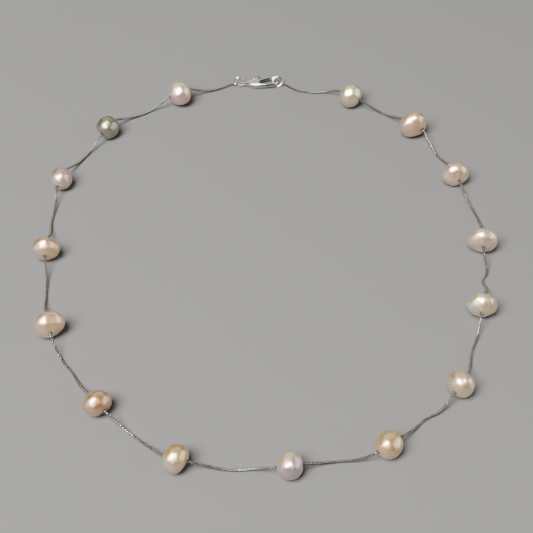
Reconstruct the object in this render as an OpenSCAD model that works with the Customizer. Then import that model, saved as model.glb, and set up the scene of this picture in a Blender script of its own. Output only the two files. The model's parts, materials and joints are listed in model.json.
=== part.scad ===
// Station necklace, sizes in millimetres.
// Fifteen drilled freshwater pearls are strung at stations along one fine box chain, which a
// claw clasp and a ring close. It lies as a whole loop on a flat surface at z = 0, with its
// clasp at the far side, +Y, and the middle of its outline at the origin.

/* [Pearls] */
// Diameter of the hole drilled through each pearl
drill_d = 1.2; // [1.1:0.1:1.5]
// Scale of every pearl about its own centre line
pearl_scale = 1; // [0.9:0.02:1.04]

/* [Chain] */
// Width of the box chain across its flats
chain_w = 0.8; // [0.6:0.05:0.8]
// Length over which the chain comes down from a pearl's hole to the surface
drop_run = 8; // [6:0.5:10]

/* [Rings] */
// Wire of the ring that the claw holds
end_wire = 0.55; // [0.5:0.05:0.55]
// Diameter of that ring's wire circle, from centre to centre
end_ring_d = 3.15; // [3.1:0.05:3.25]
// Wire of the small ring at the claw's eyelet
jump_wire = 0.5; // [0.4:0.05:0.5]
// Diameter of that small ring's wire circle, from centre to centre
jump_ring_d = 2.7; // [2.6:0.05:2.8]
// Wire of the soldered loop at each end of the chain
loop_wire = 0.4; // [0.3:0.05:0.4]
// Diameter of that loop's wire circle, from centre to centre
loop_d = 1.25; // [1.2:0.05:1.3]

/* [Clasp] */
// Radius of the claw's round end
claw_r = 2.2; // [2.15:0.05:2.25]
// Width of the claw's bar round its hollow
claw_bar = 0.75; // [0.7:0.05:0.8]
// Thickness of the claw at its lever
claw_t = 1.8; // [1.75:0.05:1.9]
// Thickness of the lever
lever_t = 0.85; // [0.75:0.05:0.85]
// Diameter of the lever's pin
pin_d = 0.6; // [0.5:0.05:0.7]
// How far the claw's round end is lifted off the surface, in degrees
claw_pitch = 3.6; // [3.5:0.1:3.8]

/* [Hidden] */
// Smoothness of the round pieces
$fn = 48;

// Columns of the pearl table: place on the surface, heading of the drilled hole, heading of the
// pearl's short axis (both anticlockwise from +X, in degrees), length along that axis, width
PX = 0;
PY = 1;
DRILL = 2;
FORM = 3;
LENGTH = 4;
WIDTH = 5;
PEARLS = [
  [-28.5, 66.0, 211, 215, 7.4, 8.3],
  [-51.0, 50.0, 243, 287, 6.9, 7.4],
  [-63.5, 27.0, 258, 203, 6.8, 7.2],
  [-64.5, -2.0, 272, 271, 6.1, 8.1],
  [-60.0, -30.0, 284, 292, 6.7, 8.6],
  [-44.0, -55.5, 312, 293, 6.8, 7.5],
  [-22.5, -72.0, 343, 335, 6.7, 7.8],
  [6.5, -74.0, 8, 36, 6.9, 7.1],
  [32.0, -68.0, 36, 100, 7.1, 7.4],
  [52.5, -49.5, 54, 51, 6.6, 7.8],
  [61.5, -23.0, 79, 88, 6.3, 8.3],
  [64.5, 1.0, 85, 85, 6.0, 8.7],
  [59.5, 28.5, 106, 97, 6.0, 8.2],
  [48.0, 50.5, 140, 110, 6.9, 9.0],
  [28.5, 65.0, 144, 158, 7.0, 8.0]
];

// Points on the surface where the chain lies, chosen by hand: one row for each gap between two
// pearls, from the left end loop round the front to the right end loop
LIES = [
  [[-16, 72.2], [-21, 70.2]],
  [[-36.5, 62], [-41, 59.5], [-46, 56.5]],
  [[-55.5, 43], [-58, 39], [-60.5, 35]],
  [[-64.5, 17.5], [-65, 11.5], [-64.5, 6]],
  [[-63.5, -10.5], [-63, -16.5], [-62.5, -22]],
  [[-56, -39], [-52.5, -43.5], [-49.5, -48.5]],
  [[-37.5, -61], [-33.5, -64], [-29, -68]],
  [[-14.5, -73], [-9, -73.5], [-2.5, -73.5]],
  [[14.5, -72], [19.5, -71], [24.5, -71]],
  [[38.5, -62.5], [42.5, -58.5], [47, -56]],
  [[56, -42], [57.5, -36.5], [59.5, -31.5]],
  [[64, -15.5], [63.5, -11.5], [65, -8.5]],
  [[65.5, 10], [64.5, 15], [62.5, 20.5]],
  [[57.5, 36], [55.5, 40], [53, 44.5]],
  [[43, 56], [40, 59.5], [35.5, 61.5]],
  [[22, 69.8], [16.5, 70.6], [11, 71.6]]
];

// Middle of the whole outline in these places: every piece is moved by it to the origin
MIDDLE = [0.14, 0.42];

// Where the two rings stand, and how far each leans back from upright, in degrees
END_RING = [4.15, 75];
END_LEAN = 40;
JUMP_RING = [-9.12, 74.9];
JUMP_LEAN = 15;
// How far each end loop hangs round its ring, below level, in degrees
LOOP_HANG = 25;
// How far the loop at the claw's ring turns on its hang, to stand more square to that ring's wire
END_LOOP_TURN = 30;

// Claw, seen from above, in its own frame: from the eyelet at 0, 0 along +X to the round end
CLAW_AT = [-8.1, 74.7];
EYELET_R = 1.1;
EYELET_HOLE_R = 0.65;
EYELET_T = 0.4;
ROOT_R = 0.7;
NECK_AT = [1.3, 0];
NECK_R = 0.75;
BODY_AT = [4.2, -0.25];
BODY_R = 1.6;
NOSE_AT = [10.3, 0.3];
NOSE_TIP_X = 10.4;
NOSE_T = 0.8;
CLAW_END_X = 13;

// The hollow that takes the ring, and the way out of it under the lever's arm
HOLLOW_BACK = [6.9, -0.15];
HOLLOW_BACK_R = 0.8;
GATE = [[5.9, 0.5], [NOSE_TIP_X, 0.5], [NOSE_TIP_X, 3], [6.4, 3]];

// Where the claw's side view thickens behind the eyelet, and where it starts to thin again
THICK_FROM_X = 0.9;
THICK_AT_X = 2.6;
THICK_TO_X = 6;
// Gap between the claw's lowest edge and the surface
CLAW_LIFT = 0.12;

// The lever: its pivot, its hub, its arm's tip and its thumb piece
PIVOT = [4.3, 0.5];
HUB_R = 0.95;
LEVER_TIP = [9.8, 1.95];
LEVER_TIP_R = 0.35;
THUMB_FOOT = [4.8, 1.1];
THUMB_TOP = [5.2, 2.85];
THUMB_END = [5.8, 2.95];
THUMB_R = 0.42;

// Space between the claw's two cheeks for the lever, beside its hub and beside its flat faces
LEVER_ROOM = [[3.9, -0.5], [6.6, -0.8], [7.2, 3.5], [3.3, 3.5], [3.3, 0.6]];
HUB_PLAY = 0.12;
SLOT_PLAY = 0.05;
PIN_PLAY = 0.02;

// Gap from an end loop's wire to the middle of the chain's end
CHAIN_END_GAP = 0.3;
// How far an end loop's middle hangs beyond the ring wire that it holds
LOOP_SLACK = 0.02;

// Sides of the chain's tube, and steps of a pearl's half outline
TUBE_SIDES = 8;
PEARL_STEPS = 28;

SILVER = "silver";
PEARL_TONES = ["mistyrose", "darkkhaki", "mistyrose", "peachpuff", "bisque", "burlywood", "wheat",
  "lavenderblush", "navajowhite", "antiquewhite", "beige", "thistle", "peachpuff", "peachpuff", "honeydew"];

function two_digits(n) = str(n < 10 ? "0" : "", n);
PEARL_NAMES = [for (i = [1 : len(PEARLS)]) str("pearl_", two_digits(i))];

// Unit vector of a heading on the surface
function heading(a) = [cos(a), sin(a), 0];
function unit(v) = v / norm(v);
function flat(p) = [p[0], p[1]];

// A pearl rests on the surface, so its centre is half its width up
function pearl_high(p) = p[WIDTH] * pearl_scale;
function pearl_centre(p) = [p[PX], p[PY], pearl_high(p) / 2];
function pearl_long(p) = p[LENGTH] * pearl_scale;

// Half of a pearl's thickness along its drilled hole
function half_drilled(p) =
  let (a = p[DRILL] - p[FORM])
  1 / sqrt(pow(2 * cos(a) / pearl_long(p), 2) + pow(2 * sin(a) / pearl_high(p), 2));

// Half outline of a pearl, turned about its short axis to make its round form
function pearl_outline(p) = [
  for (k = [0 : PEARL_STEPS])
    let (a = 180 * k / PEARL_STEPS)
    [k % PEARL_STEPS == 0 ? 0 : pearl_high(p) / 2 * sin(a), -pearl_long(p) / 2 * cos(a)]
];

// The mouths of a pearl's hole: side -1 is where the chain comes in, side 1 where it leaves
function mouth(p, side) = pearl_centre(p) + side * half_drilled(p) * heading(p[DRILL]);

// Height of the chain's middle at a distance from a place where it is held at height h
function sag_height(h, d) =
  let (low = chain_w / 2)
  d >= drop_run ? low : low + (h - low) * (1 + cos(180 * d / drop_run)) / 2;
function held_height(q, hold) = sag_height(hold[2], norm(q - flat(hold)));
function lying(q, before, after) = [q[0], q[1], max(held_height(q, before), held_height(q, after))];

// The rings: height of a leaning ring's centre, and its radius
function ring_centre(at, d, wire, lean) = [at[0], at[1], d / 2 * cos(lean) + wire / 2];
function ring_point(centre, d, lean, a) =
  centre + d / 2 * [cos(a), sin(a) * sin(lean), sin(a) * cos(lean)];

// An end loop hangs on a ring at an angle a and points away from it along loop_out
function loop_out(side) = [side * cos(LOOP_HANG), 0, -sin(LOOP_HANG)];
function loop_centre(centre, d, lean, side) =
  ring_point(centre, d, lean, side > 0 ? -LOOP_HANG : 180 + LOOP_HANG) + LOOP_SLACK * loop_out(side);
function chain_end(middle, side) = middle + (loop_d / 2 + loop_wire / 2 + CHAIN_END_GAP) * loop_out(side);

END_CENTRE = ring_centre(END_RING, end_ring_d, end_wire, END_LEAN);
JUMP_CENTRE = ring_centre(JUMP_RING, jump_ring_d, jump_wire, JUMP_LEAN);
LEFT_LOOP = loop_centre(JUMP_CENTRE, jump_ring_d, JUMP_LEAN, -1);
RIGHT_LOOP = loop_centre(END_CENTRE, end_ring_d, END_LEAN, 1);
LEFT_END = chain_end(LEFT_LOOP, -1);
RIGHT_END = chain_end(RIGHT_LOOP, 1);

// The chain's route: out of each hold, over the points where it lies, into the next hold
HOLDS_OUT = concat([LEFT_END], [for (p = PEARLS) mouth(p, 1)]);
HOLDS_IN = concat([for (p = PEARLS) mouth(p, -1)], [RIGHT_END]);
ROUTE = [
  for (g = [0 : len(LIES) - 1])
    each concat(
      [HOLDS_OUT[g]],
      [for (q = LIES[g]) lying(q, HOLDS_OUT[g], HOLDS_IN[g])],
      [HOLDS_IN[g]]
    )
];

// Direction of the route at one of its points, and the ring of points swept there
function along(path, i) = unit(path[min(i + 1, len(path) - 1)] - path[max(i - 1, 0)]);
function swept_ring(c, dir, r) =
  let (side = unit(cross([0, 0, 1], dir)), up = cross(dir, side))
  [
    for (k = [0 : TUBE_SIDES - 1])
      let (a = 360 * k / TUBE_SIDES)
      c + r * (cos(a) * side + sin(a) * up)
  ];

module tube(path, r) {
  n = TUBE_SIDES;
  last = (len(path) - 1) * n;
  points = [for (i = [0 : len(path) - 1]) each swept_ring(path[i], along(path, i), r)];
  sides = [
    for (i = [0 : len(path) - 2], k = [0 : n - 1])
      [i * n + k, (i + 1) * n + k, (i + 1) * n + (k + 1) % n, i * n + (k + 1) % n]
  ];
  start_cap = [for (k = [0 : n - 1]) k];
  end_cap = [for (k = [n - 1 : -1 : 0]) last + k];
  polyhedron(points = points, faces = concat([start_cap], sides, [end_cap]), convexity = 10);
}

// A pearl: a round form a little flattened along its short axis, and drilled
module pearl(i) {
  p = PEARLS[i];
  color(PEARL_TONES[i])
    difference() {
      translate(pearl_centre(p))
        rotate([0, 90, p[FORM]])
          rotate_extrude() polygon(pearl_outline(p));
      translate(pearl_centre(p))
        rotate([0, 90, p[DRILL]])
          cylinder(d = drill_d, h = 2 * pearl_high(p), center = true);
    }
}

// The box chain as one tube, straight through every pearl's hole
module chain() {
  color(SILVER) tube(ROUTE, chain_w / 2);
}

// A round wire ring of diameter d between wire centres, lying in the XY plane
module wire_ring(d, wire) {
  rotate_extrude() translate([d / 2, 0]) circle(d = wire);
}

module end_loop(middle, side, turn) {
  color(SILVER)
    translate(middle)
      rotate([0, side * LOOP_HANG, 0])
        rotate([-turn, 0, 0])
          wire_ring(loop_d, loop_wire);
}

module end_loop_left() end_loop(LEFT_LOOP, -1, 0);

module end_loop_right() end_loop(RIGHT_LOOP, 1, END_LOOP_TURN);

module jump_ring() {
  color(SILVER)
    translate(JUMP_CENTRE)
      rotate([90 - JUMP_LEAN, 0, 0])
        wire_ring(jump_ring_d, jump_wire);
}

module end_ring() {
  color(SILVER)
    translate(END_CENTRE)
      rotate([90 - END_LEAN, 0, 0])
        wire_ring(end_ring_d, end_wire);
}

// Flat outline of two discs joined by their common tangents
module taper(a, ra, b, rb) {
  run = norm(b - a);
  turn = atan2(b[1] - a[1], b[0] - a[0]);
  open = acos((ra - rb) / run);
  translate(a) circle(r = ra);
  translate(b) circle(r = rb);
  polygon([
    a + ra * [cos(turn + open), sin(turn + open)],
    a + ra * [cos(turn - open), sin(turn - open)],
    b + rb * [cos(turn - open), sin(turn - open)],
    b + rb * [cos(turn + open), sin(turn + open)]
  ]);
}

// The claw's frame: its eyelet rests near the surface and its round end is lifted
module in_claw_frame() {
  high = claw_t / 2 - THICK_AT_X * sin(claw_pitch) + CLAW_LIFT;
  translate([CLAW_AT[0], CLAW_AT[1], high]) rotate([0, -claw_pitch, 0]) children();
}

module claw_outline() {
  taper(NOSE_AT, claw_r, BODY_AT, BODY_R);
  taper(BODY_AT, BODY_R, NECK_AT, NECK_R);
  taper(NECK_AT, NECK_R, [0, 0], ROOT_R);
  circle(r = EYELET_R);
}

module claw_hollow() {
  taper(NOSE_AT, claw_r - claw_bar, HOLLOW_BACK, HOLLOW_BACK_R);
  polygon(GATE);
}

module lever_room() {
  translate(PIVOT) circle(r = HUB_R + HUB_PLAY);
  polygon(LEVER_ROOM);
}

// Side view of the claw: thin at the eyelet, thickest at the lever, thinner at the round end
module claw_side() {
  e = EYELET_T / 2;
  t = claw_t / 2;
  n = NOSE_T / 2;
  upper = [[-2, e], [THICK_FROM_X, e], [THICK_AT_X, t], [THICK_TO_X, t], [CLAW_END_X, n]];
  lower = [[CLAW_END_X, -n], [THICK_TO_X, -t], [THICK_AT_X, -t], [THICK_FROM_X, -e], [-2, -e]];
  polygon(concat(upper, lower));
}

module clasp_body() {
  slot = lever_t + 2 * SLOT_PLAY;
  color(SILVER)
    in_claw_frame()
      difference() {
        intersection() {
          translate([0, 0, -claw_t]) linear_extrude(2 * claw_t) claw_outline();
          translate([0, 4, 0]) rotate([90, 0, 0]) linear_extrude(8) claw_side();
        }
        translate([0, 0, -claw_t]) linear_extrude(2 * claw_t) claw_hollow();
        translate([0, 0, -slot / 2]) linear_extrude(slot) lever_room();
        translate([0, 0, -claw_t]) cylinder(r = EYELET_HOLE_R, h = 2 * claw_t);
        translate([PIVOT[0], PIVOT[1], -claw_t]) cylinder(d = pin_d + 2 * PIN_PLAY, h = 2 * claw_t);
      }
}

module clasp_pin() {
  color(SILVER)
    in_claw_frame()
      translate([PIVOT[0], PIVOT[1], -claw_t / 2]) cylinder(d = pin_d, h = claw_t);
}

// The sprung lever: a hub on the pin, an arm that shuts the hollow, and a thumb piece
module clasp_lever() {
  color(SILVER)
    in_claw_frame()
      difference() {
        translate([0, 0, -lever_t / 2])
          linear_extrude(lever_t) {
            taper(PIVOT, HUB_R, LEVER_TIP, LEVER_TIP_R);
            taper(THUMB_FOOT, THUMB_R, THUMB_TOP, THUMB_R);
            taper(THUMB_TOP, THUMB_R, THUMB_END, THUMB_R);
          }
        translate([PIVOT[0], PIVOT[1], -claw_t]) cylinder(d = pin_d + 2 * PIN_PLAY, h = 2 * claw_t);
      }
}

// Moves a piece so that the middle of the whole outline is at the origin
module placed() {
  translate([-MIDDLE[0], -MIDDLE[1], 0]) children();
}

for (i = [0 : len(PEARLS) - 1]) placed() pearl(i);
placed() chain();
placed() end_loop_left();
placed() end_loop_right();
placed() jump_ring();
placed() end_ring();
placed() clasp_body();
placed() clasp_pin();
placed() clasp_lever();
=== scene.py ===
"""A station necklace: freshwater pearls spaced along a fine box chain, closed by a claw clasp.

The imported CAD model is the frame. Every pearl, the chain, the rings and the clasp get a finished
piece of their own, in metres, that lies where its CAD node lies.
"""

import json
import logging
import math
from collections.abc import Callable, Iterable, Iterator
from contextlib import contextmanager
from dataclasses import dataclass, field
from enum import Enum
from typing import Any

import bmesh
import bpy
from mathutils import Euler, Matrix, Quaternion, Vector
from mathutils.kdtree import KDTree


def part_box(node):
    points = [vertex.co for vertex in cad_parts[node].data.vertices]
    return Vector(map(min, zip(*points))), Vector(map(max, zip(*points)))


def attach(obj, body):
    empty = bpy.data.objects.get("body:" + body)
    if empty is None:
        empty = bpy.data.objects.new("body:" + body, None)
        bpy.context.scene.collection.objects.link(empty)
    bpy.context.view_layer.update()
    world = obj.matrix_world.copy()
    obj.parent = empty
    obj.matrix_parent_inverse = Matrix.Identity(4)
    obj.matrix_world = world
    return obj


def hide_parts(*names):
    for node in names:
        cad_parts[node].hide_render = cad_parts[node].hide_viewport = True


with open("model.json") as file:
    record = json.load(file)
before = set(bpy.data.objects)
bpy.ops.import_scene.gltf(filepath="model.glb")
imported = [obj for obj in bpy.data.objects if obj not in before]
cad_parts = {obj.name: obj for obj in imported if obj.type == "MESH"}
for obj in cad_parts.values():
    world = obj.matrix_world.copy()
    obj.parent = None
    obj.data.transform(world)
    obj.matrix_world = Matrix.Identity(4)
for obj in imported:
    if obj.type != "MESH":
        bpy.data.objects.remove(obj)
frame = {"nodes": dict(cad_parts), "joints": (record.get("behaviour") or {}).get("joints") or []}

log = logging.getLogger("station_necklace")

Object = bpy.types.Object
Material = bpy.types.Material
Pair = tuple[float, float]

MM = 0.001
NOISE_RANGE = (0.3, 0.7)
STILL = "necklace"
MOVING = "lever"
MIDDLE = Vector((0.14, 0.42, 0.0))
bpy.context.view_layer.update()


def linear(hex_code: str) -> tuple[float, float, float, float]:
    """Turns an sRGB hex colour into the linear colour that a shader socket takes.

    Args:
        hex_code: Colour as "#rrggbb".

    Returns:
        Linear red, green, blue and an alpha of one.
    """
    parts = [int(hex_code[i : i + 2], 16) / 255 for i in (1, 3, 5)]
    red, green, blue = [p / 12.92 if p <= 0.04045 else ((p + 0.055) / 1.055) ** 2.4 for p in parts]
    return red, green, blue, 1.0


def add_node(
    tree: Any, kind: str, links: dict[str | int, Any] | None = None, **settings: Any
) -> Any:
    """Adds a shader node with its settings, socket values and links.

    Args:
        tree: Node tree of the material.
        kind: Node type without its ShaderNode prefix, such as "TexNoise".
        links: Value or output socket for each input, by the input's name or number.
        **settings: Properties of the node itself.

    Returns:
        The new node.
    """
    made = tree.nodes.new(f"ShaderNode{kind}")
    for name, value in settings.items():
        setattr(made, name, value)
    for socket, value in (links or {}).items():
        if isinstance(value, bpy.types.NodeSocket):
            tree.links.new(value, made.inputs[socket])
        else:
            made.inputs[socket].default_value = value
    return made


def new_material(name: str) -> tuple[Material, bpy.types.NodeTree, Any]:
    """Makes a material whose patterns lie on Object coordinates.

    Args:
        name: The material's name.

    Returns:
        The material, its node tree and the output with the coordinates.
    """
    material = bpy.data.materials.new(name)
    material.use_nodes = True
    tree = material.node_tree
    tree.nodes.clear()
    return material, tree, add_node(tree, "TexCoord").outputs["Object"]


def noise(tree: Any, place: Any, size_mm: float, detail: float = 2.0, rough: float = 0.5) -> Any:
    """Adds a noise pattern.

    Args:
        tree: Node tree of the material.
        place: Output with the coordinates.
        size_mm: Size of the pattern's forms in mm.
        detail: How many finer layers it has.
        rough: How strong the finer layers are.

    Returns:
        Output with the pattern's value.
    """
    values = {"Vector": place, "Scale": 1 / (size_mm * MM), "Detail": detail, "Roughness": rough}
    return add_node(tree, "TexNoise", values).outputs["Fac"]


def ramp(tree: Any, value: Any, reach: Pair, result: Pair, **settings: Any) -> Any:
    """Maps a value from one range to another.

    Args:
        tree: Node tree of the material.
        value: Output with the value.
        reach: The values that give the two ends of the result.
        result: The result's two ends.
        **settings: Properties of the node itself.

    Returns:
        Output with the result.
    """
    values = {"Value": value, 1: reach[0], 2: reach[1], 3: result[0], 4: result[1]}
    return add_node(tree, "MapRange", values, **settings).outputs["Result"]


def mix(tree: Any, share: Any, first: Any, second: Any) -> Any:
    """Mixes two colours.

    Args:
        tree: Node tree of the material.
        share: Output with the second colour's share.
        first: The first colour, as "#rrggbb" or an output.
        second: The second colour, likewise.

    Returns:
        Output with the mixed colour.
    """
    pair = [linear(colour) if isinstance(colour, str) else colour for colour in (first, second)]
    values = {0: share, 6: pair[0], 7: pair[1]}
    return add_node(tree, "Mix", values, data_type="RGBA").outputs[2]


def add_surface(tree: Any, values: dict[str | int, Any]) -> None:
    """Ends a material with its surface.

    Args:
        tree: Node tree of the material.
        values: Value or output for each input of the Principled shader that isn't left as it is.
    """
    shader = add_node(tree, "BsdfPrincipled", values)
    add_node(tree, "OutputMaterial", {"Surface": shader.outputs["BSDF"]})


def smooth(share: float) -> float:
    """Eases a share from 0 to 1 at both ends."""
    return share * share * (3 - 2 * share)


def deselect() -> None:
    """Deselects every object, because an operator acts on all that is selected."""
    bpy.ops.object.select_all(action="DESELECT")


def pick(obj: Object) -> None:
    """Makes one object the only selected and active one."""
    deselect()
    obj.select_set(True)
    bpy.context.view_layer.objects.active = obj


@contextmanager
def editing(action: str | None = "SELECT") -> Iterator[None]:
    """Puts the active object in edit mode for as long as the context lasts.

    Args:
        action: "SELECT" or "DESELECT" for all of the mesh, or None to keep what is selected.
    """
    bpy.ops.object.mode_set(mode="EDIT")
    if action:
        bpy.ops.mesh.select_all(action=action)
    yield
    bpy.ops.object.mode_set(mode="OBJECT")


def choose(parts: Iterable[Any], rule: Callable[[Any], bool]) -> None:
    """Selects some edges or faces of the active object's mesh and nothing else.

    Args:
        parts: All its edges or all its faces.
        rule: Tells whether one of them is wanted.
    """
    with editing("DESELECT"):
        bpy.ops.mesh.select_mode(type="EDGE")
    for part in parts:
        part.select = rule(part)


def settle(
    obj: Object,
    place: Vector | None = None,
    turn: Quaternion | None = None,
    size: Vector | None = None,
) -> None:
    """Scales, turns and moves an object and applies that to its mesh, so it sits at the origin.

    Args:
        obj: The object.
        place: Where its origin goes, in metres.
        turn: How it is turned.
        size: How it is scaled along X, Y and Z.
    """
    pick(obj)
    obj.rotation_mode = "QUATERNION"
    if size is not None:
        obj.scale = size
    if turn is not None:
        obj.rotation_quaternion = turn
    if place is not None:
        obj.location = place
    bpy.ops.object.transform_apply(location=True, rotation=True, scale=True)
    obj.rotation_mode = "XYZ"


def finish_modifier(obj: Object, kind: str, **settings: Any) -> None:
    """Adds a modifier with its settings and applies it.

    Args:
        obj: The object.
        kind: Blender's name for the modifier type.
        **settings: The modifier's properties.
    """
    pick(obj)
    modifier = obj.modifiers.new(kind.title(), kind)
    for name, value in settings.items():
        setattr(modifier, name, value)
    bpy.ops.object.modifier_apply(modifier=modifier.name)


def named(obj: Object, name: str) -> Object:
    """Gives an object and its mesh one plain name."""
    obj.name = name
    obj.data.name = name
    return obj


def heading(degrees: float) -> Vector:
    """Unit vector of a heading on the surface, anticlockwise from +X."""
    return Vector((math.cos(math.radians(degrees)), math.sin(math.radians(degrees)), 0.0))


def direction(bearing: float, height: float) -> Vector:
    """Unit vector of a bearing on the surface and a height angle above it, in degrees."""
    flat = heading(bearing) * math.cos(math.radians(height))
    return flat + Vector((0.0, 0.0, math.sin(math.radians(height))))


def box_centre(node: str) -> Vector:
    """Middle of a CAD node's box at rest, in metres."""
    low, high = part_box(node)
    return (Vector(low) + Vector(high)) / 2


@dataclass(frozen=True)
class Nacre:
    """Freshwater pearl nacre: thin layers of aragonite, satin and deep, nearly as bright as metal.

    One side is painted with a golden or greenish sheen, the crown, and another, low down, with a
    lilac painted reflection. Sizes are in mm, bearings and height angles in degrees.
    """

    name: str
    body: str
    overtone: str
    flush: str
    # Colours of the painted sheen on the crown side and of the painted lilac reflection on a low
    # side
    crown: str
    painted_reflection: str
    reflection_bearing: float = 225.0
    reflection_height: float = 5.0
    sheen_bearing: float = 145.0
    sheen_height: float = 50.0
    blotch_mm: float = 3.2
    patch_mm: float = 4.16
    growth_mm: float = 0.7

    def side(self, tree: Any, place: Any, bearing: float, height: float, start: float) -> Any:
        """Gives how far each point lies towards one side of the pearl.

        Args:
            tree: The material's node tree.
            place: Output with the place from the pearl's middle, in radii.
            bearing: Bearing of that side in degrees.
            height: Its height angle in degrees.
            start: Where the side begins, from -1 at the far side to 1 at its own middle.

        Returns:
            An output that rises from 0 to 1 at the side's middle.
        """
        ends = {0: place, 1: direction(bearing, height)}
        reach = add_node(tree, "VectorMath", ends, operation="DOT_PRODUCT").outputs["Value"]
        return ramp(tree, reach, (start, 1.0), (0.0, 0.75), interpolation_type="SMOOTHSTEP")

    def build(self, centre: Vector, radius: float) -> Material:
        """Makes the material.

        Args:
            centre: The pearl's middle, in metres.
            radius: Its radius, in metres.

        Returns:
            The material, on Object coordinates.
        """
        material, tree, coords = new_material(f"nacre_{self.name}")
        blotch = noise(tree, coords, self.blotch_mm, rough=0.45)
        colour = mix(tree, ramp(tree, blotch, (0.38, 0.66), (0.0, 1.0)), self.body, self.overtone)
        shifted = add_node(tree, "Mapping", {"Vector": coords, "Location": (0.11, 0.07, 0.05)})
        patch = noise(tree, shifted.outputs["Vector"], self.patch_mm, detail=1.0)
        colour = mix(tree, ramp(tree, patch, (0.5, 0.72), (0.0, 0.75)), colour, self.flush)
        in_radii = {"Vector": coords, "Location": -centre / radius, "Scale": [1 / radius] * 3}
        place = add_node(tree, "Mapping", in_radii).outputs["Vector"]
        # Painted sheen on the crown side and painted lilac reflection on a low side, mixed over the
        # nacre
        crown = self.side(tree, place, self.sheen_bearing, self.sheen_height, 0.1)
        painted_reflection = self.side(tree, place, self.reflection_bearing, self.reflection_height, 0.25)
        colour = mix(tree, painted_reflection, mix(tree, crown, colour, self.crown), self.painted_reflection)
        growth = noise(tree, coords, self.growth_mm, detail=3.0)
        layers = {"Height": growth, "Strength": 0.25, "Distance": 0.03 * MM}
        add_surface(
            tree,
            {
                "Base Color": colour,
                "Roughness": ramp(tree, growth, NOISE_RANGE, (0.34, 0.42)),
                "Normal": add_node(tree, "Bump", layers).outputs["Normal"],
                "Metallic": 0.93,
                "IOR": 1.6,
                "Specular IOR Level": 0.6,
                "Coat Weight": 1.0,
                "Coat Roughness": 0.16,
                "Coat IOR": 1.9,
            },
        )
        return material


@dataclass(frozen=True)
class SterlingSilver:
    """Sterling silver, drawn or cast, then tumbled to a bright polish with tiny handling marks."""

    name: str
    colour: str = "#e9e7e2"
    shade: str = "#c9c6c0"
    polish: float = 0.08
    mark_mm: float = 0.35

    def build(self) -> Material:
        """Makes the material.

        Returns:
            The material, on Object coordinates.
        """
        material, tree, coords = new_material(self.name)
        marks = noise(tree, coords, self.mark_mm, detail=4.0, rough=0.55)
        gloss = (self.polish - 0.05, self.polish + 0.08)
        dents = {"Height": marks, "Strength": 0.2, "Distance": 0.01 * MM}
        add_surface(
            tree,
            {
                "Base Color": mix(tree, marks, self.colour, self.shade),
                "Roughness": ramp(tree, marks, NOISE_RANGE, gloss),
                "Normal": add_node(tree, "Bump", dents).outputs["Normal"],
                "Metallic": 1.0,
            },
        )
        return material


@dataclass(frozen=True)
class DullFinish:
    """A dull surface darkened as painted shade, mottled between two colours, with a grain size in
    mm.
    """

    name: str
    colour: str
    shade: str
    grain_mm: float
    metallic: float
    roughness: float

    def build(self) -> Material:
        """Makes the material.

        Returns:
            The material, on Object coordinates.
        """
        material, tree, coords = new_material(self.name)
        colour = mix(tree, noise(tree, coords, self.grain_mm), self.colour, self.shade)
        dull = {"Base Color": colour, "Metallic": self.metallic, "Roughness": self.roughness}
        add_surface(tree, dull)
        return material


# Painted shade: silver darkened inside and between the links, and the raw drilled wall of a hole
# darkened to brown inside it
LINK_SHADE = DullFinish("silver_hollow_painted_shade", "#45413c", "#6a655d", 0.25, 1.0, 0.45)
HOLE_WALL = DullFinish("drilled_wall", "#6b5646", "#4a3a2e", 0.15, 0.0, 0.8)


@dataclass(frozen=True)
class Station:
    """Where one pearl lies and its plain form, in mm and degrees, as in the CAD source.

    It is length mm thick along its short axis, which has the bearing form, and width mm across. Its
    hole has the bearing drill.
    """

    x: float
    y: float
    drill: float
    form: float
    length: float
    width: float

    @property
    def centre(self) -> Vector:
        """Middle of the pearl, in millimetres."""
        return Vector((self.x, self.y, self.width / 2)) - MIDDLE

    @property
    def half_drilled(self) -> float:
        """Half of the pearl's thickness along its drilled hole, in millimetres."""
        off = math.radians(self.drill - self.form)
        return 1 / math.hypot(2 * math.cos(off) / self.length, 2 * math.sin(off) / self.width)

    def mouth(self, side: int) -> Vector:
        """Mouth of the hole in mm: side -1 where the chain comes in, 1 where it leaves."""
        return self.centre + side * self.half_drilled * heading(self.drill)


STATIONS = (
    Station(-28.5, 66, 211, 215, 7.4, 8.3),
    Station(-51, 50, 243, 287, 6.9, 7.4),
    Station(-63.5, 27, 258, 203, 6.8, 7.2),
    Station(-64.5, -2, 272, 271, 6.1, 8.1),
    Station(-60, -30, 284, 292, 6.7, 8.6),
    Station(-44, -55.5, 312, 293, 6.8, 7.5),
    Station(-22.5, -72, 343, 335, 6.7, 7.8),
    Station(6.5, -74, 8, 36, 6.9, 7.1),
    Station(32, -68, 36, 100, 7.1, 7.4),
    Station(52.5, -49.5, 54, 51, 6.6, 7.8),
    Station(61.5, -23, 79, 88, 6.3, 8.3),
    Station(64.5, 1, 85, 85, 6.0, 8.7),
    Station(59.5, 28.5, 106, 97, 6.0, 8.2),
    Station(48, 50.5, 140, 110, 6.9, 9.0),
    Station(28.5, 65, 144, 158, 7.0, 8.0),
)


@dataclass(frozen=True)
class Side:
    """One side of a pearl: its bearing and height angle in degrees."""

    bearing: float
    height: float

    @property
    def toward(self) -> Vector:
        """Unit vector from the pearl's middle to the side."""
        return direction(self.bearing, self.height)


@dataclass(frozen=True)
class Swell(Side):
    """A side where a pearl grew out, or in at a depth below 0: its depth and reach in mm."""

    depth: float
    reach: float


@dataclass(frozen=True)
class Furrow(Side):
    """A shallow crease round one side: where it lies from the pearl's middle towards that side, in
    radii, and its depth and half width in mm."""

    at: float
    depth: float = 0.08
    half_width: float = 0.75


@dataclass(frozen=True)
class Growth:
    """How one pearl's nacre and form differ from a plain round one, with its lumps' depth in mm."""

    nacre: Nacre
    lumps: float = 0.3
    swells: tuple[Swell, ...] = ()
    furrows: tuple[Furrow, ...] = ()


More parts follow.
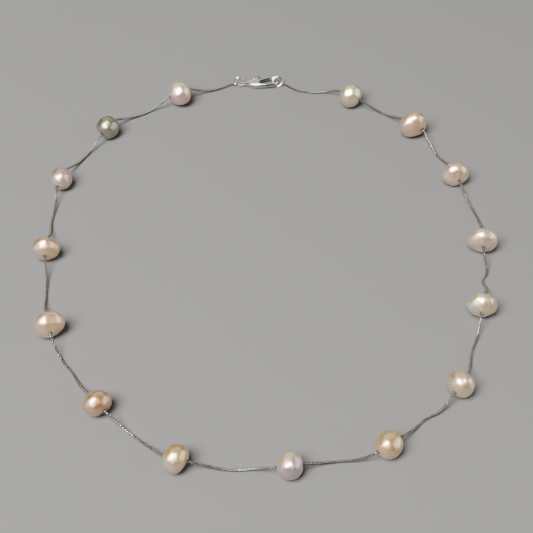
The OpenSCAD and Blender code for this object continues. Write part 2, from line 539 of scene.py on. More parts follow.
GROWTHS = (
    Growth(
        Nacre("pinkish_white", "#e8c6a6", "#f2dcc0", "#d9a990", "#f0d4b0", "#e6c0bc"),
        swells=(Swell(60, 60, -0.12, 2.4),),
    ),
    Growth(
        Nacre("grey_green", "#86806a", "#9d957c", "#74755c", "#847c56", "#968476"),
        lumps=0.35,
        swells=(Swell(-142, -27, -0.35, 3.2), Swell(165, 5, 0.25, 2.6)),
        furrows=(Furrow(30, 45, 0.5, 0.07),),
    ),
    Growth(
        Nacre("pale_lilac", "#d4b4a0", "#e6cab4", "#c0928a", "#bc9c88", "#e2c4c0"),
        furrows=(Furrow(40, 50, 0.5),),
    ),
    Growth(
        Nacre("peach_one", "#deb080", "#ecc698", "#cc9068", "#cca868", "#dab4b8"),
        lumps=0.35,
        furrows=(Furrow(-80, 60, 0.55, 0.07),),
    ),
    Growth(
        Nacre("cream_peach", "#e2c290", "#efd4a2", "#d2a074", "#d8a882", "#e8c6ae"),
        swells=(Swell(10, 12, 0.35, 3.2), Swell(-50, -20, -0.35, 3.4)),
        furrows=(Furrow(5, 20, 0.5, 0.08, 0.9),),
    ),
    Growth(
        Nacre("bronze_peach", "#c09468", "#d2aa7c", "#a8744e", "#bc9660", "#d8b090"),
        swells=(Swell(-40, -20, -0.4, 3.2), Swell(20, 20, 0.2, 3.0)),
        furrows=(Furrow(0, 10, 0.25, 0.12, 0.9),),
    ),
    Growth(
        Nacre("golden", "#d8b47c", "#e4c492", "#c08e5c", "#cca662", "#ddc8b4"),
        swells=(Swell(35, 25, 0.3, 3.2), Swell(-30, -20, -0.4, 3.2), Swell(180, 0, -0.15, 3.0)),
        furrows=(Furrow(-5, 15, 0.3, 0.1),),
    ),
    Growth(
        Nacre("white_lavender", "#d6bca8", "#e6d2bc", "#b09498", "#e0c698", "#b89cb0", 270, 30),
        swells=(Swell(90, 40, 0.3, 4.0), Swell(-90, 20, -0.15, 3.0)),
    ),
    Growth(
        Nacre("golden_peach", "#deba80", "#eac892", "#c88e62", "#cfb672", "#e2c09c"),
        swells=(Swell(-90, -40, 0.3, 4.0), Swell(90, 40, 0.2, 4.0)),
        furrows=(Furrow(10, 20, 0.5, 0.09),),
    ),
    Growth(
        Nacre("cream_peach_two", "#e4c69c", "#efd8ae", "#d4a880", "#d0b586", "#eacaae"),
        swells=(Swell(150, 15, 0.25, 3.0),),
        furrows=(Furrow(20, 30, 0.42, 0.1),),
    ),
    Growth(
        Nacre("cream_green", "#e6cf9c", "#eedfa8", "#d6b098", "#dacc86", "#e2d2cc"),
        swells=(Swell(185, 0, 0.3, 2.8), Swell(-20, -20, 0.2, 3.2)),
        furrows=(Furrow(5, 10, 0.25, 0.1),),
    ),
    Growth(
        Nacre("lilac_cream", "#e6ceac", "#efdcac", "#d0a8a4", "#e0d08e", "#e6c6bc"),
        swells=(Swell(185, -10, 0.15, 2.8),),
        furrows=(Furrow(20, 20, 0.5),),
    ),
    Growth(
        Nacre("peach_two", "#eac69a", "#f4dab2", "#d8a078", "#e2b89a", "#ecccb2"),
        swells=(Swell(190, -10, 0.2, 2.6),),
        furrows=(Furrow(15, 20, 0.35, 0.1),),
    ),
    Growth(
        Nacre("peach_three", "#e2b988", "#ecc99c", "#cc9674", "#d8ae72", "#e0c0b8"),
        swells=(Swell(30, 30, 0.15, 3.0),),
        furrows=(Furrow(0, 30, 0.4, 0.09),),
    ),
    Growth(
        Nacre("pale_green", "#dccf9e", "#e6dcae", "#ccb088", "#d2d090", "#e0c4aa"),
        swells=(Swell(40, 40, 0.15, 2.5),),
        furrows=(Furrow(-10, 35, 0.35),),
    ),
)


@dataclass
class Pearl:
    """One drilled freshwater pearl, a little off round, resting on the surface."""

    number: int
    station: Station
    growth: Growth
    wall: Material
    segments: int = 96
    rings: int = 64
    lump_mm: float = 4.5
    fine_lumps_mm: tuple[Pair, ...] = ((1.9, 0.09), (0.9, 0.012))
    hole_mm: float = 1.16
    cap_share: float = 0.92
    sharp: float = 50.0

    @property
    def name(self) -> str:
        """The CAD node that this pearl stands for."""
        return f"pearl_{self.number:02d}"

    def build(self) -> Object:
        """Models the pearl, drills it and dresses it.

        Returns:
            The finished piece.
        """
        pearl = self.round_form()
        self.grow(pearl)
        self.seat(pearl)
        self.drill(pearl)
        pick(pearl)
        bpy.ops.object.shade_smooth_by_angle(angle=math.radians(self.sharp))
        radius = self.station.width / 2 * MM
        pearl.data.materials.append(self.growth.nacre.build(self.station.centre * MM, radius))
        pearl.data.materials.append(self.wall)
        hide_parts(self.name)
        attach(pearl, STILL)
        return pearl

    def round_form(self) -> Object:
        """Adds a sphere with its poles on the hole and flattens it along its short axis.

        Returns:
            The closed round form, at its place.
        """
        station = self.station
        short = heading(station.form)
        bore = heading(station.drill)
        squeeze = station.length / station.width
        pole = (bore + (1 / squeeze - 1) * bore.dot(short) * short).normalized()
        form_turn = Euler((0, 0, math.radians(station.form))).to_quaternion()
        deselect()
        bpy.ops.mesh.primitive_uv_sphere_add(
            segments=self.segments,
            ring_count=self.rings,
            radius=station.width / 2 * MM,
            location=(0, 0, 0),
        )
        pearl = named(bpy.context.active_object, f"{self.name}_nacre")
        settle(pearl, turn=pole.to_track_quat("Z", "Y"))
        settle(pearl, turn=form_turn.inverted())
        settle(pearl, size=Vector((squeeze, 1, 1)))
        settle(pearl, turn=form_turn, place=station.centre * MM)
        return pearl

    def grow(self, pearl: Object) -> None:
        """Grows low lumps all over it, then this pearl's own swells and furrows.

        Args:
            pearl: The round form.
        """
        for size_mm, depth_mm in ((self.lump_mm, self.growth.lumps), *self.fine_lumps_mm):
            lumps = bpy.data.textures.new(f"{self.name}_lumps", "CLOUDS")
            lumps.noise_scale = size_mm * MM
            lumps.noise_depth = 1
            values = {"texture": lumps, "texture_coords": "LOCAL", "strength": 2 * depth_mm * MM}
            finish_modifier(pearl, "DISPLACE", **values)
        centre = self.station.centre * MM
        radius_mm = self.station.width / 2
        for swell in self.growth.swells:
            top = centre + swell.toward * radius_mm * MM
            for vertex in pearl.data.vertices:
                near = 1 - (vertex.co - top).length / (swell.reach * MM)
                if near > 0:
                    vertex.co += swell.toward * swell.depth * MM * smooth(near)
        for furrow in self.growth.furrows:
            for vertex in pearl.data.vertices:
                out = vertex.co - centre
                along = out.dot(furrow.toward) / MM
                away = (along - furrow.at * radius_mm) / furrow.half_width
                vertex.co -= out.normalized() * furrow.depth * MM * math.exp(-away * away)

    def seat(self, pearl: Object) -> None:
        """Stretches the lower half a little, so that its lowest point is on the surface.

        Args:
            pearl: The grown form.
        """
        middle = self.station.width / 2 * MM
        lowest = min(vertex.co.z for vertex in pearl.data.vertices)
        stretch = middle / (middle - lowest)
        for vertex in pearl.data.vertices:
            if vertex.co.z < middle:
                vertex.co.z = middle + (vertex.co.z - middle) * stretch

    def drill(self, pearl: Object) -> None:
        """Opens both poles and joins them by a straight wall, the drilled hole.

        Args:
            pearl: The seated form.
        """
        centre = self.station.centre * MM
        bore = heading(self.station.drill)
        radius = self.hole_mm / 2 * MM

        def off_axis(point: Vector) -> Vector:
            """The part of a point's place that lies across the hole."""
            across = point - centre
            return across - across.dot(bore) * bore

        mesh = bmesh.new()
        mesh.from_mesh(pearl.data)
        reach = radius * self.cap_share
        cap = [face for face in mesh.faces if off_axis(face.calc_center_median()).length < reach]
        bmesh.ops.delete(mesh, geom=cap, context="FACES")
        for vertex in [vertex for vertex in mesh.verts if vertex.is_boundary]:
            across = off_axis(vertex.co)
            vertex.co += across.normalized() * radius - across
        mesh.to_mesh(pearl.data)
        mesh.free()
        outer = len(pearl.data.polygons)
        pick(pearl)
        with editing("DESELECT"):
            bpy.ops.mesh.select_mode(type="EDGE")
            bpy.ops.mesh.select_non_manifold(extend=False)
            bpy.ops.mesh.bridge_edge_loops()
        with editing():
            bpy.ops.mesh.normals_make_consistent()
        # The hole's wall takes the dark brown material: painted shade inside the hole
        for face in pearl.data.polygons[outer:]:
            face.material_index = 1


# Places on the surface where the chain lies, one row for each gap between two pearls, in mm
LIES = (
    ((-16, 72.2), (-21, 70.2)),
    ((-36.5, 62), (-41, 59.5), (-46, 56.5)),
    ((-55.5, 43), (-58, 39), (-60.5, 35)),
    ((-64.5, 17.5), (-65, 11.5), (-64.5, 6)),
    ((-63.5, -10.5), (-63, -16.5), (-62.5, -22)),
    ((-56, -39), (-52.5, -43.5), (-49.5, -48.5)),
    ((-37.5, -61), (-33.5, -64), (-29, -68)),
    ((-14.5, -73), (-9, -73.5), (-2.5, -73.5)),
    ((14.5, -72), (19.5, -71), (24.5, -71)),
    ((38.5, -62.5), (42.5, -58.5), (47, -56)),
    ((56, -42), (57.5, -36.5), (59.5, -31.5)),
    ((64, -15.5), (63.5, -11.5), (65, -8.5)),
    ((65.5, 10), (64.5, 15), (62.5, 20.5)),
    ((57.5, 36), (55.5, 40), (53, 44.5)),
    ((43, 56), (40, 59.5), (35.5, 61.5)),
    ((22, 69.8), (16.5, 70.6), (11, 71.6)),
)

# How the chain is rolled about its own length at the start and end of each gap, in degrees
ROLLS = (
    (0, 60), (80, 20), (40, 100), (15, 75), (60, 0), (30, 95), (5, 80), (70, 15),
    (20, 85), (75, 25), (10, 90), (55, 5), (85, 30), (0, 70), (45, 110), (70, 0),
)


@dataclass
class BoxChain:
    """The fine box chain: small square links, each turned a quarter turn from the last.

    It comes down from each pearl over drop_mm and hangs at hang degrees off each end loop. The loop
    reaches loop_out_mm from its middle and the chain starts end_gap_mm past it; a longer link, over
    loop_reach_mm from that middle, joins them. A face keeps the bright silver where its normal has
    less than unshaded_x and unshaded_z along a link's axes; the other faces, inside the band and at
    its ends between the links, get dark metal as painted shade.
    """

    width_mm: float = 0.8
    link_mm: float = 0.66
    metal_mm: float = 0.12
    band_mm: float = 0.36
    corner_mm: float = 0.25
    crown_mm: float = 0.09
    unshaded_x: float = 0.35
    unshaded_z: float = 0.5
    pitch_mm: float = 0.4
    drop_mm: float = 8.0
    lift_mm: float = 0.02
    steps: int = 12
    sharp: float = 62.0
    loose: float = 7.0
    phase: float = 2.399
    hang: float = 25.0
    loop_out_mm: float = 0.825
    end_gap_mm: float = 0.3
    loop_reach_mm: Pair = (0.25, 1.385)
    pieces: list[Object] = field(default_factory=list)

    def held_height(self, place: Vector, hold: Vector) -> float:
        """Height of the chain's middle where it comes down from one hold.

        Args:
            place: A place on the surface, in mm.
            hold: The point that holds the chain up, in mm.

        Returns:
            The height in mm.
        """
        low = self.width_mm / 2
        away = math.hypot(place.x - hold.x, place.y - hold.y)
        if away >= self.drop_mm:
            return low
        return low + (hold.z - low) * (1 + math.cos(math.pi * away / self.drop_mm)) / 2

    def stops(self) -> tuple[list[Vector], list[float]]:
        """Lists the points that the chain passes, with its roll at each one.

        Returns:
            The points in mm and the rolls in degrees, from the left end loop to the right one.
        """
        leaves = [self.end_point("end_loop_left", -1), *(pearl.mouth(1) for pearl in STATIONS)]
        enters = [*(pearl.mouth(-1) for pearl in STATIONS), self.end_point("end_loop_right", 1)]
        points: list[Vector] = []
        rolls: list[float] = []
        for gap, (row, (start, end)) in enumerate(zip(LIES, ROLLS)):
            lying = [Vector((x, y, 0.0)) - MIDDLE for x, y in row]
            holds = (leaves[gap], enters[gap])
            for place in lying:
                place.z = max(self.held_height(place, hold) for hold in holds)
            run = [holds[0], *lying, holds[1]]
            points += run
            rolls += [start + (end - start) * i / (len(run) - 1) for i in range(len(run))]
            if gap < len(STATIONS):
                points.append(STATIONS[gap].centre)
                rolls.append((end + ROLLS[gap + 1][0]) / 2)
        return points, rolls

    def way_out(self, side: int) -> Vector:
        """Unit vector along which the chain leaves the left end loop, side -1, or the right, 1."""
        hang = math.radians(self.hang)
        return Vector((side * math.cos(hang), 0, -math.sin(hang)))

    def end_point(self, loop: str, side: int) -> Vector:
        """Where the chain's end meets an end loop, in mm.

        Args:
            loop: The end loop's CAD node.
            side: -1 for the left end and 1 for the right.

        Returns:
            The end point in mm.
        """
        return box_centre(loop) / MM + self.way_out(side) * (self.loop_out_mm + self.end_gap_mm)

    def route(self) -> tuple[list[Vector], list[float]]:
        """Draws one smooth line through the stops, a centripetal Catmull-Rom curve.

        Returns:
            Closely spaced points in mm, and the roll in degrees at each.
        """
        points, rolls = self.stops()
        padded = [2 * points[0] - points[1], *points, 2 * points[-1] - points[-2]]
        line: list[Vector] = []
        turns: list[float] = []
        for i in range(1, len(padded) - 2):
            before, start, end, after = stops = padded[i - 1 : i + 3]
            d0, d1, d2 = [math.sqrt((b - a).length) for a, b in zip(stops, stops[1:])]
            leave = d1 * ((start - before) / d0 - (end - before) / (d0 + d1) + (end - start) / d1)
            reach = d1 * ((end - start) / d1 - (after - start) / (d1 + d2) + (after - end) / d2)
            for k in range(self.steps):
                t = k / self.steps
                bend = t * (1 - t) * ((1 - t) * leave - t * reach)
                line.append(start.lerp(end, smooth(t)) + bend)
                turns.append(rolls[i - 1] + (rolls[i] - rolls[i - 1]) * t)
        line.append(points[-1])
        turns.append(rolls[-1])
        return line, turns

    def pattern_link(self) -> Object:
        """Models one link: a square band with clipped corners, its opening along Z.

        Returns:
            The link, centred on the origin with its length along X.
        """
        deselect()
        bpy.ops.mesh.primitive_plane_add(size=1, location=(0, 0, 0))
        link = named(bpy.context.active_object, "chain_link")
        settle(link, size=Vector((self.link_mm * MM, self.width_mm * MM, 1)))
        rise = {"value": (0, 0, self.band_mm * MM)}
        with editing():
            bpy.ops.mesh.bevel(offset=self.corner_mm * MM, affect="VERTICES", segments=2)
            bpy.ops.mesh.select_all(action="SELECT")
            bpy.ops.mesh.inset(thickness=self.metal_mm * MM, use_even_offset=True)
            bpy.ops.mesh.delete(type="ONLY_FACE")
            bpy.ops.mesh.select_all(action="SELECT")
            bpy.ops.mesh.extrude_region_move(TRANSFORM_OT_translate=rise)
            bpy.ops.mesh.select_all(action="SELECT")
            bpy.ops.mesh.normals_make_consistent()
        settle(link, place=Vector((0, 0, -self.band_mm / 2 * MM)))
        self.crown_band(link)
        # Faces inside the band and at its ends take the dark metal: painted shade in and between
        # the links
        for face in link.data.polygons:
            outward = face.center.y * face.normal.y > 0
            level = abs(face.normal.x) < self.unshaded_x and abs(face.normal.z) < self.unshaded_z
            face.material_index = 0 if outward and level else 1
        bpy.ops.object.shade_smooth_by_angle(angle=math.radians(self.sharp))
        return link

    def crown_band(self, link: Object) -> None:
        """Rounds the band's outer edges, so that each link catches the light as a dot of its own.

        Args:
            link: The square band.
        """
        corners = link.data.vertices

        def outer(edge: bpy.types.MeshEdge) -> bool:
            """Whether an edge runs level round the band's outer face."""
            ends = [corners[i].co / MM for i in edge.vertices]
            level = abs(ends[0].z - ends[1].z) < 0.01
            return level and all(self.on_outside(place) for place in ends)

        choose(link.data.edges, outer)
        with editing(None):
            bpy.ops.mesh.bevel(offset=self.crown_mm * MM, segments=1, affect="EDGES")

    def on_outside(self, place: Vector) -> bool:
        """Whether a corner of the band, in mm, is on its outer face."""
        deep = min(self.link_mm / 2 - abs(place.x), self.width_mm / 2 - abs(place.y))
        return deep < 0.8 * self.metal_mm

    def lay(self, link: Object, place: Vector, along: Vector, across: Vector) -> None:
        """Copies the link, with a mesh of its own, to one place in the chain.

        Args:
            link: The pattern link.
            place: Middle of the copy, in mm.
            along: The chain's direction there.
            across: Direction of the link's other side.
        """
        turn = Matrix((along, across, along.cross(across))).transposed().to_4x4()
        copy = bpy.data.objects.new(f"link_{len(self.pieces)}", link.data.copy())
        copy.data.transform(Matrix.Translation(place * MM) @ turn)
        bpy.context.scene.collection.objects.link(copy)
        self.pieces.append(copy)

    def take_loop(self, link: Object, loop: str, side: int) -> None:
        """Adds the longer link that joins the chain's last link to an end loop.

        Args:
            link: The pattern link, which is drawn out to the longer one and back.
            loop: The end loop's CAD node.
            side: -1 for the left end and 1 for the right.
        """
        out = self.way_out(side)
        longer = (self.loop_reach_mm[1] - self.loop_reach_mm[0] - self.link_mm) / 2
        for step in (longer, -longer):
            for vertex in link.data.vertices:
                vertex.co.x += math.copysign(step * MM, vertex.co.x)
            if step > 0:
                place = box_centre(loop) / MM + out * sum(self.loop_reach_mm) / 2
                self.lay(link, place, out, Vector((0, 1, 0)).cross(out))

    def lay_all(self, link: Object) -> tuple[int, float]:
        """Copies the link all along the route.

        Args:
            link: The pattern link.

        Returns:
            The number of links, without the longer ones, and the route's length in mm.
        """
        line, turns = self.route()
        travelled = [0.0]
        for a, b in zip(line, line[1:]):
            travelled.append(travelled[-1] + (b - a).length)
        count = int((travelled[-1] - self.link_mm) / self.pitch_mm) // 2 * 2 + 1
        pitch = (travelled[-1] - self.link_mm) / (count - 1)
        at = 0
        for i in range(count):
            reach = self.link_mm / 2 + i * pitch
            while travelled[at + 1] < reach and at < len(line) - 2:
                at += 1
            t = (reach - travelled[at]) / (travelled[at + 1] - travelled[at])
            place = line[at].lerp(line[at + 1], t)
            place.z += self.lift_mm
            along = (line[min(at + 2, len(line) - 1)] - line[max(at - 1, 0)]).normalized()
            side = Vector((0, 0, 1)).cross(along).normalized()
            up = along.cross(side)
            quarter = math.pi / 2 * (i % 2)
            loose = math.radians(self.loose) * math.sin(i * self.phase)
            roll = math.radians(turns[at] + (turns[at + 1] - turns[at]) * t) + quarter + loose
            self.lay(link, place, along, math.cos(roll) * side + math.sin(roll) * up)
        return count, travelled[-1]

    def build(self, silver: Material, hollow: Material) -> Object:
        """Models a link, copies it all along the route and joins the copies.

        Args:
            silver: The finished metal of the links' outer faces.
            hollow: The dark metal inside and between the links, painted shade.

        Returns:
            The finished chain.
        """
        link = self.pattern_link()
        link.data.materials.append(silver)
        link.data.materials.append(hollow)
        count, length = self.lay_all(link)
        self.take_loop(link, "end_loop_left", -1)
        self.take_loop(link, "end_loop_right", 1)
        faces = len(link.data.polygons)
        bpy.data.objects.remove(link)
        deselect()
        for copy in self.pieces:
            copy.select_set(True)
        bpy.context.view_layer.objects.active = self.pieces[0]
        bpy.ops.object.join()
        chain = named(bpy.context.active_object, "box_chain")
        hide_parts("chain")
        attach(chain, STILL)
        log.info("box chain: %d links, %.1f mm, %d faces a link", count, length, faces)
        return chain


class Joint(Enum):
    """How a wire ring is closed."""

    SOLDERED = "soldered"
    BUTTED = "butted"


@dataclass
class WireRing:
    """A round wire ring, bent from drawn wire and either soldered shut or butted end to end.

    It is across_mm between the wire's middles, tilted about X and Y from flat, and has its joint at
    a bearing, all in degrees.
    """

    node: str
    across_mm: float
    wire_mm: float
    tilt: Pair
    joint: Joint
    joint_at: float = 0.0
    steps: int = 96
    round_sides: int = 20
    butt_gap_mm: float = 0.05
    solder_swell: float = 0.12
    solder_wires: float = 0.7
    sharp: float = 40.0

    def build(self, silver: Material) -> Object:
        """Spins the wire's section round the ring and finishes its joint.

        Args:
            silver: The finished metal.

        Returns:
            The finished ring.
        """
        soldered = self.joint is Joint.SOLDERED
        start = math.radians(self.joint_at)
        gap = 0.0 if soldered else self.butt_gap_mm / (self.across_mm / 2)
        turn = 2 * math.pi - gap
        deselect()
        bpy.ops.mesh.primitive_circle_add(
            vertices=self.round_sides,
            radius=self.wire_mm / 2 * MM,
            fill_type="NOTHING" if soldered else "NGON",
            location=self.across_mm / 2 * MM * heading(self.joint_at),
            rotation=(math.pi / 2, 0, start),
        )
        ring = named(bpy.context.active_object, f"{self.node}_wire")
        settle(ring)
        with editing():
            bpy.ops.mesh.spin(steps=self.steps, angle=turn, center=(0, 0, 0), axis=(0, 0, 1))
        with editing():
            bpy.ops.mesh.remove_doubles(threshold=0.001 * MM)
            bpy.ops.mesh.normals_make_consistent()
        if soldered:
            self.swell_solder(ring, start)
        tilt = Euler([math.radians(angle) for angle in self.tilt] + [0.0])
        settle(ring, turn=tilt.to_quaternion(), place=box_centre(self.node))
        bpy.ops.object.shade_smooth_by_angle(angle=math.radians(self.sharp))
        ring.data.materials.append(silver)
        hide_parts(self.node)
        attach(ring, STILL)
        return ring

    def swell_solder(self, ring: Object, start: float) -> None:
        """Thickens the wire a little where its ends were soldered.

        Args:
            ring: The ring, flat on the XY plane.
            start: Where the joint is, in radians.
        """
        radius_mm = self.across_mm / 2
        reach_mm = self.solder_wires * self.wire_mm
        for vertex in ring.data.vertices:
            angle = math.atan2(vertex.co.y, vertex.co.x) - start
            angle = abs(math.atan2(math.sin(angle), math.cos(angle)))
            near = max(0.0, 1 - angle * radius_mm / reach_mm)
            middle = Vector((vertex.co.x, vertex.co.y, 0)).normalized() * radius_mm * MM
            vertex.co += (vertex.co - middle) * self.solder_swell * smooth(near)


@dataclass
class ClawClasp:
    """The cast claw clasp: its body with the eyelet, the sprung lever and the pin it turns on.

    The claw's own frame starts at the middle of its eyelet, with X along the claw and Z up through
    its cheeks, pitched a few degrees. The slot's and the bow's places are in that frame.
    """

    voxel_mm: float = 0.06
    soften: int = 16
    eyelet_mm: Vector = field(default_factory=lambda: Vector((-8.1, 74.7, 0.857)) - MIDDLE)
    pitch: float = 3.6
    round_mm: float = 0.55
    least_share: float = 0.3
    steep: float = 0.35
    web_mm: float = 0.2
    slot_mm: float = 0.57
    slot_x_mm: Pair = (3.2, 7.2)
    slot_y_mm: float = -0.8
    ramp_mm: Pair = (0.6, 0.5)
    bow_mm: float = 0.34
    bow_at_mm: Pair = (6.6, 4.4)
    bow_from_y_mm: float = -0.6
    pin_mm: float = 0.6
    pin_length_mm: float = 1.86
    rivet_mm: float = 0.09
    sharp: float = 40.0

    def build(self, silver: Material) -> list[Object]:
        """Builds all three pieces.

        Args:
            silver: The finished metal.

        Returns:
            The body, the lever and the pin.
        """
        return [
            self.cast("clasp_body", "claw_cast", STILL, silver),
            self.cast("clasp_lever", "lever_cast", MOVING, silver),
            self.pin(silver),
        ]

    def cast(self, node: str, name: str, body: str, silver: Material) -> Object:
        """Copies a CAD solid and rounds all its edges, as casting and tumbling leave them.

        Args:
            node: The CAD node.
            name: The new piece's name.
            body: The CAD body that it rides on.
            silver: The finished metal.

        Returns:
            The finished piece.
        """
        source = frame["nodes"][node]
        piece = bpy.data.objects.new(name, source.data.copy())
        piece.data.transform(source.matrix_world)
        piece.data.materials.clear()
        bpy.context.scene.collection.objects.link(piece)
        named(piece, name)
        settle(piece, size=Vector((1 / MM, 1 / MM, 1 / MM)))
        with editing():
            bpy.ops.mesh.remove_doubles(threshold=0.001)
        finish_modifier(piece, "REMESH", mode="VOXEL", voxel_size=self.voxel_mm)
        self.crown(piece, self.slot_mm if node == "clasp_body" else 0.0)
        finish_modifier(piece, "SMOOTH", factor=0.5, iterations=self.soften)
        settle(piece, size=Vector((MM, MM, MM)))
        bpy.ops.object.shade_smooth()
        piece.data.materials.append(silver)
        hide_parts(node)
        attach(piece, body)
        return piece

    def in_slot(self, place: Vector) -> float:
        """Tells how far a place lies over the lever's slot.

        Args:
            place: The place in the claw's frame, in mm.

        Returns:
            A share from 0, clear of the slot, to 1.
        """
        (left, right), near = self.slot_x_mm, self.slot_y_mm
        across, deep = self.ramp_mm
        shares = (place.x - left) / across, (right - place.x) / across, (place.y - near) / deep
        return math.prod(min(max(share + 1, 0.0), 1.0) for share in shares)

    def bow(self, place: Vector) -> float:
        """Tells how far the claw's back curves out.

        Args:
            place: The place in the claw's frame, in mm.

        Returns:
            The bow there in mm.
        """
        along = (place.x - self.bow_at_mm[0]) / self.bow_at_mm[1]
        near = min(max((self.bow_from_y_mm - place.y) / self.ramp_mm[0], 0.0), 1.0)
        return self.bow_mm * max(1 - along * along, 0.0) * near

    def crown(self, piece: Object, slot_mm: float) -> None:
        """Rounds the casting's top and underside over towards its side walls.

        Args:
            piece: The remeshed copy, in millimetres.
            slot_mm: Half of the height between its cheeks, which is left as it is.
        """
        pitched = Matrix.Rotation(-math.radians(self.pitch), 4, "Y")
        to_world = Matrix.Translation(self.eyelet_mm) @ pitched
        to_claw = to_world.inverted()
        turned = to_claw.to_3x3()
        places = [to_claw @ vertex.co for vertex in piece.data.vertices]
        walls = [
            place.xy.to_3d()
            for place, vertex in zip(places, piece.data.vertices)
            if abs((turned @ vertex.normal).z) < self.steep
            and abs(place.z) > max(self.web_mm, slot_mm * self.in_slot(place))
        ]
        tree = KDTree(len(walls))
        for i, wall in enumerate(walls):
            tree.insert(wall, i)
        tree.balance()
        for place, vertex in zip(places, piece.data.vertices):
            inside = min(tree.find(place.xy.to_3d())[2] / self.round_mm, 1.0)
            keep = slot_mm * self.in_slot(place)
            over = max(abs(place.z) - keep, 0.0)
            share = max(math.sqrt(1 - (1 - inside) ** 2), self.least_share)
            place.z = math.copysign(abs(place.z) - over * (1 - share), place.z)
            if slot_mm:
                place.y -= self.bow(place)
            vertex.co = to_world @ place

    def pin(self, silver: Material) -> Object:
        """Models the riveted pin: a short rod with domed heads.

        Args:
            silver: The finished metal.

        Returns:
            The finished pin.
        """
        hinge = frame["joints"][0]
        axis = Vector(hinge["axis"]).normalized()
        deselect()
        bpy.ops.mesh.primitive_cylinder_add(
            vertices=32,
            radius=self.pin_mm / 2 * MM,
            depth=self.pin_length_mm * MM,
            location=(0, 0, 0),
        )
        pin = named(bpy.context.active_object, "clasp_pin_riveted")
        choose(pin.data.polygons, lambda face: abs(face.normal.z) > 0.9)
        with editing(None):
            bpy.ops.mesh.bevel(offset=self.rivet_mm * MM, segments=3, affect="EDGES")
        settle(pin, turn=axis.to_track_quat("Z", "Y"), place=box_centre("clasp_pin"))
        bpy.ops.object.shade_smooth_by_angle(angle=math.radians(self.sharp))
        pin.data.materials.append(silver)
        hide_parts("clasp_pin")
        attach(pin, STILL)
        return pin


@dataclass(frozen=True)
class SoftLight:
    """A rectangular light: the direction to it from the necklace, its distance and size in metres,
    its power in watts, its turn about its own axis in degrees, and its colour."""

    name: str
    toward: tuple[float, float, float]
    away: float
    size: Pair
    watts: float
    turn: float = 0.0
    colour: str = "#ffffff"


SOFT_LIGHTS = (
    SoftLight("key_window", (-0.34, -0.36, 0.87), 1.2, (0.55, 0.85), 82.0, turn=-25),
    SoftLight("side_window", (0.93, 0.02, 0.36), 1.4, (1.5, 1.0), 10.0),
    SoftLight("far_panel", (0.0, 0.82, 0.57), 1.6, (2.4, 1.2), 8.0),
    SoftLight("left_strip", (-0.93, -0.33, 0.14), 1.2, (0.35, 0.8), 1.6, colour="#cddcff"),
)


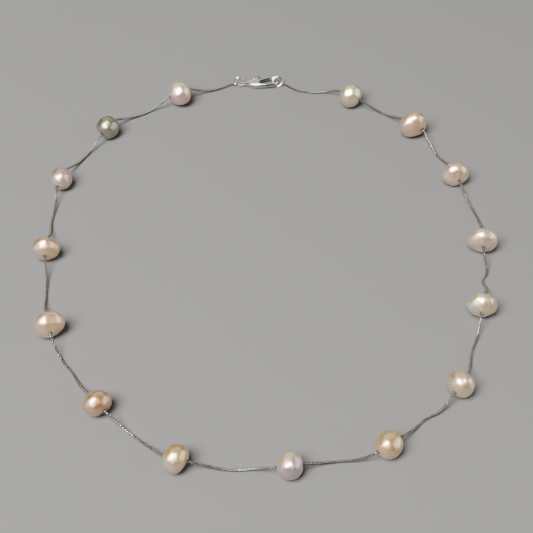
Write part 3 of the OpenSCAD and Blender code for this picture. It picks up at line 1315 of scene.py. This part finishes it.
@dataclass
class Studio:
    """The camera at the photograph's angle, a plain pale floor and soft light.

    The camera looks down by down degrees. Its focal length, frame and the frame's optical middle
    are in pixels of the photograph.
    """

    camera_mm: tuple[float, float, float] = (0.96, -214.02, 251.5)
    down: float = 50.4
    sensor_mm: float = 36.0
    focal_px: float = 1106.0
    frame_px: float = 533.0
    centre_px: float = 268.5

    def camera(self) -> None:
        """Adds the camera and makes it the scene's own."""
        lens = bpy.data.cameras.new("camera")
        lens.sensor_width = self.sensor_mm
        lens.lens = self.focal_px / self.frame_px * self.sensor_mm
        lens.shift_x = -(self.centre_px - self.frame_px / 2) / self.frame_px
        lens.clip_start = 0.01
        lens.dof.use_dof = False
        camera = bpy.data.objects.new("camera", lens)
        camera.location = Vector(self.camera_mm) * MM
        camera.rotation_euler = (math.radians(90 - self.down), 0, 0)
        bpy.context.scene.collection.objects.link(camera)
        bpy.context.scene.camera = camera

    def floor(self) -> None:
        """Adds the plain pale floor."""
        deselect()
        bpy.ops.mesh.primitive_plane_add(size=4, location=(0, 0, 0))
        floor = named(bpy.context.active_object, "floor")
        material, tree, _ = new_material("pale_floor")
        add_surface(tree, {"Base Color": linear("#504f4d"), "Roughness": 0.85})
        floor.data.materials.append(material)

    def light(self, lamp_form: SoftLight) -> None:
        """Adds one soft light that faces the necklace.

        Args:
            lamp_form: The light's place, size and power.
        """
        lamp = bpy.data.lights.new(lamp_form.name, "AREA")
        lamp.shape = "RECTANGLE"
        lamp.size, lamp.size_y = lamp_form.size
        lamp.energy = lamp_form.watts
        lamp.color = linear(lamp_form.colour)[:3]
        holder = bpy.data.objects.new(lamp_form.name, lamp)
        toward = Vector(lamp_form.toward).normalized()
        roll = Euler((0, 0, math.radians(lamp_form.turn))).to_quaternion()
        holder.location = toward * lamp_form.away
        holder.rotation_euler = (toward.to_track_quat("Z", "Y") @ roll).to_euler()
        holder.visible_camera = False
        bpy.context.scene.collection.objects.link(holder)

    def build(self) -> None:
        """Sets up the camera, the floor, the lights and the pale surroundings."""
        self.camera()
        self.floor()
        for lamp_form in SOFT_LIGHTS:
            self.light(lamp_form)
        world = bpy.data.worlds.new("pale_room")
        world.use_nodes = True
        room = world.node_tree.nodes["Background"].inputs
        room["Color"].default_value = linear("#dcdde0")
        room["Strength"].default_value = 0.06
        bpy.context.scene.world = world


def main() -> None:
    """Builds the studio, then every piece of the necklace, and reports each."""
    logging.basicConfig(level=logging.INFO, format="%(message)s")
    Studio().build()
    polished = SterlingSilver("sterling_polished").build()
    chain_silver = SterlingSilver("sterling_chain", "#f4f2ed", "#dedbd4", 0.28, 0.5).build()
    wall = HOLE_WALL.build()
    pearls = (
        Pearl(number, station, growth, wall)
        for number, (station, growth) in enumerate(zip(STATIONS, GROWTHS), start=1)
    )
    rings = (
        WireRing("end_ring", 3.15, 0.55, (50, 0), Joint.SOLDERED, joint_at=200),
        WireRing("jump_ring", 2.7, 0.5, (75, 0), Joint.BUTTED, joint_at=100),
        WireRing("end_loop_left", 1.25, 0.4, (0, -25), Joint.SOLDERED, joint_at=180),
        WireRing("end_loop_right", 1.25, 0.4, (-30, 25), Joint.SOLDERED, joint_at=0),
    )
    pieces = [pearl.build() for pearl in pearls]
    pieces.append(BoxChain().build(chain_silver, LINK_SHADE.build()))
    pieces += [ring.build(polished) for ring in rings]
    pieces += ClawClasp().build(polished)
    for piece in pieces:
        log.info("%s: %d faces", piece.name, len(piece.data.polygons))


if __name__ == "__main__":
    main()
